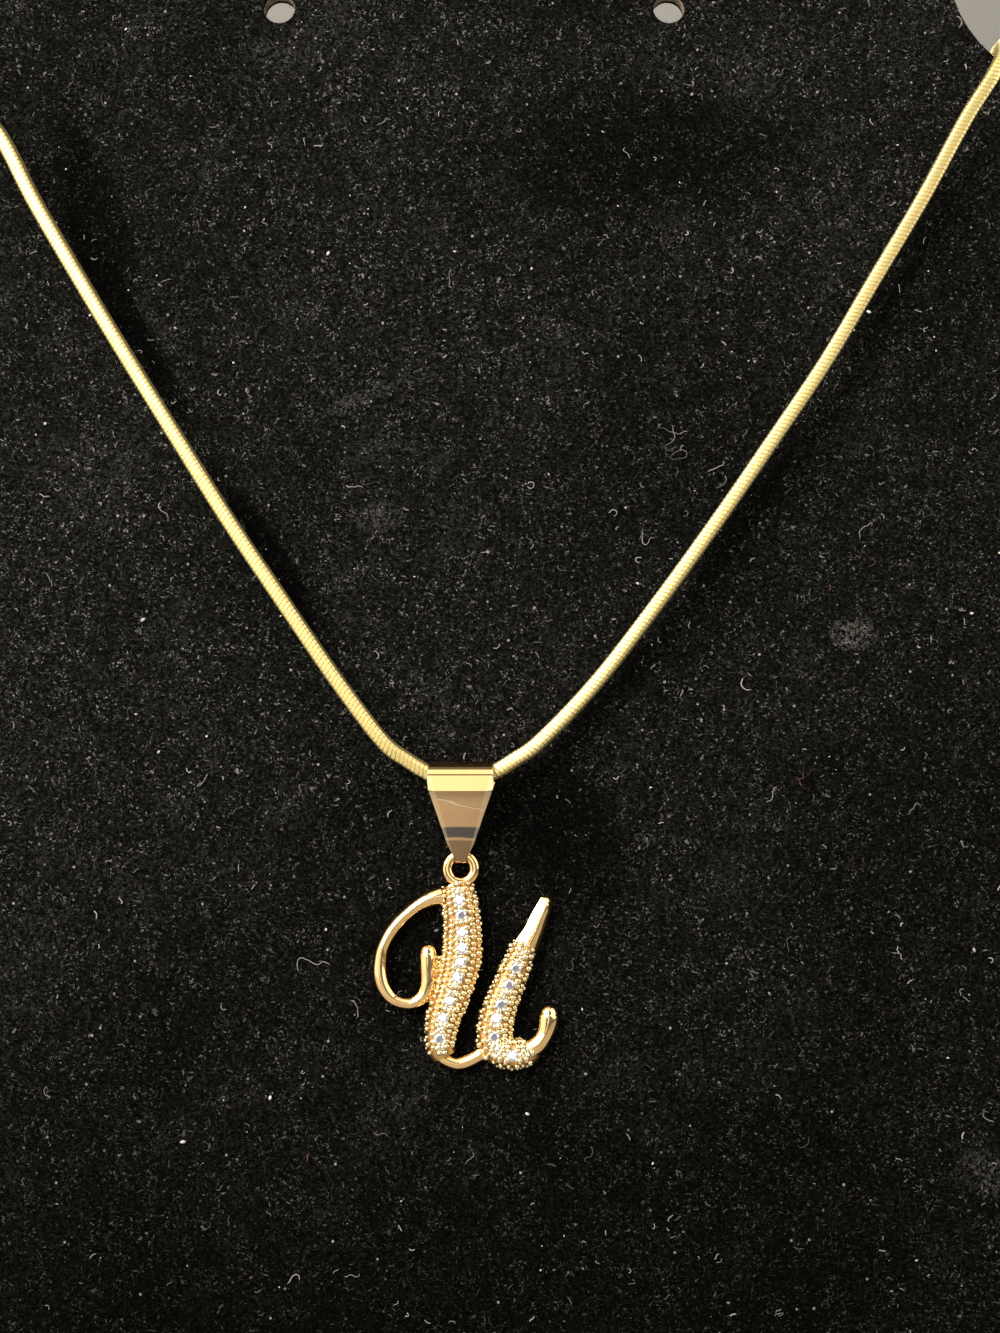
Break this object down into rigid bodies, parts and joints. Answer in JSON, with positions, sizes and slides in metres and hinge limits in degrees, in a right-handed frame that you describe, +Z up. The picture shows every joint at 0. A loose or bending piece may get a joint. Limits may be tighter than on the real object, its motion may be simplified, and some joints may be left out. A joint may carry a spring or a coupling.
{
  "type": "initial pendant necklace on a velvet display board",
  "caption": "Script letter U pendant with set stones on a folded bail and snake chain, over a leaning velvet display board.",
  "frame": {"origin": "middle of the footprint, on the floor that the board and its strut stand on", "axes": "+Z up, +Y towards the back of the board, so its face looks along -Y; +X to the right as seen from the front"},
  "size_m": [0.1734, 0.0654, 0.1907],
  "materials": {
    "velvet": "black velvet",
    "chain_gold": "gold plated, bright",
    "polished_gold": "mirror polished",
    "cast_gold": "cast, with polished strokes and beaded stems",
    "stone": "cut and clear"
  },
  "bodies": {
    "display": {"display_board": "velvet", "easel_strut": "velvet", "chain_left": "chain_gold", "chain_right": "chain_gold", "clasp": "chain_gold"},
    "bail": {"bail": "polished_gold"},
    "pendant": {"letter": "cast_gold", "stone_1": "stone", "stone_2": "stone", "stone_3": "stone", "stone_4": "stone", "stone_5": "stone", "stone_6": "stone", "stone_7": "stone", "stone_8": "stone", "stone_9": "stone", "stone_10": "stone", "stone_11": "stone", "stone_12": "stone", "stone_13": "stone", "stone_14": "stone", "stone_15": "stone"}
  },
  "joints": [
    {"name": "bail_swing", "type": "hinge", "parent": "display", "child": "bail", "pos_m": [-0.0012, -0.01639, 0.08915], "axis": [-1, 0, 0], "range_deg": [0, 90]},
    {"name": "letter_swing", "type": "hinge", "parent": "bail", "child": "pendant", "pos_m": [-0.0012, -0.01682, 0.08132], "axis": [-1, 0, 0], "range_deg": [0, 50]}
  ]
}
